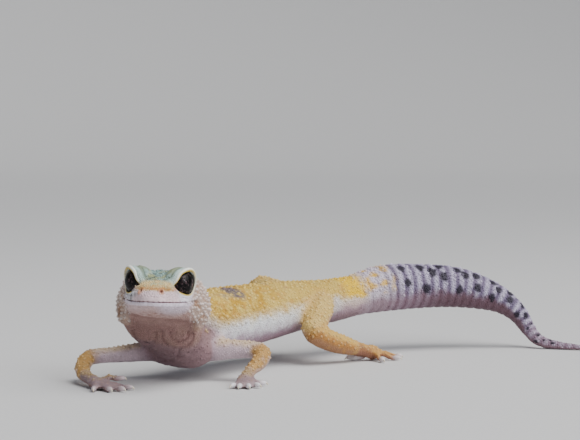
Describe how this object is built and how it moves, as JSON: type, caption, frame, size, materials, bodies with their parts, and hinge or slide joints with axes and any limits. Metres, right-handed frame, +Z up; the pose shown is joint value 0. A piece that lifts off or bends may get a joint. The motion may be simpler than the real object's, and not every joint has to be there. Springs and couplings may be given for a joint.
{
  "type": "leopard gecko",
  "caption": "Life-size leopard gecko standing with its head raised, one arm reaching forward and its thick tail arched down to the floor.",
  "frame": {"origin": "on the floor under the middle of the whole animal", "axes": "+Z up, -Y towards the head, +Y towards the tail, +X the animal's left"},
  "size_m": [0.0866, 0.1616, 0.0318],
  "materials": {
    "head_skin": "pale cream and lilac scales with yellow over the snout, soft satin",
    "body_skin": "golden yellow granular scales fading to a pinkish white belly, soft satin",
    "limb_skin": "yellow orange granular scales fading to lilac pink, soft satin",
    "toe_skin": "pinkish white fine scales, soft satin",
    "tail_skin": "lavender white ringed scales with dark violet spots, soft satin",
    "eye": "near black with fine brown veins, wet gloss",
    "claw": "translucent horn, satin"
  },
  "bodies": {
    "root": {"head": "head_skin", "lower_jaw": "head_skin", "neck": "body_skin", "chest": "body_skin", "belly": "body_skin", "tail_base": "tail_skin", "tail_middle": "tail_skin", "tail_rear": "tail_skin", "tail_tip": "tail_skin", "arm_upper_left": "limb_skin", "arm_fore_left": "limb_skin", "hand_left": "toe_skin", "arm_upper_right": "limb_skin", "arm_fore_right": "limb_skin", "hand_right": "toe_skin", "thigh_left": "limb_skin", "shin_left": "limb_skin", "foot_left": "toe_skin", "thigh_right": "limb_skin", "shin_right": "limb_skin", "foot_right": "toe_skin", "eye_left": "eye", "eye_right": "eye", "claw_hand_left_1": "claw", "claw_hand_left_2": "claw", "claw_hand_left_3": "claw", "claw_hand_left_4": "claw", "claw_hand_left_5": "claw", "claw_hand_right_1": "claw", "claw_hand_right_2": "claw", "claw_hand_right_3": "claw", "claw_hand_right_4": "claw", "claw_hand_right_5": "claw", "claw_foot_left_1": "claw", "claw_foot_left_2": "claw", "claw_foot_left_3": "claw", "claw_foot_left_4": "claw", "claw_foot_left_5": "claw", "claw_foot_right_1": "claw", "claw_foot_right_2": "claw", "claw_foot_right_3": "claw", "claw_foot_right_4": "claw", "claw_foot_right_5": "claw"}
  },
  "joints": []
}
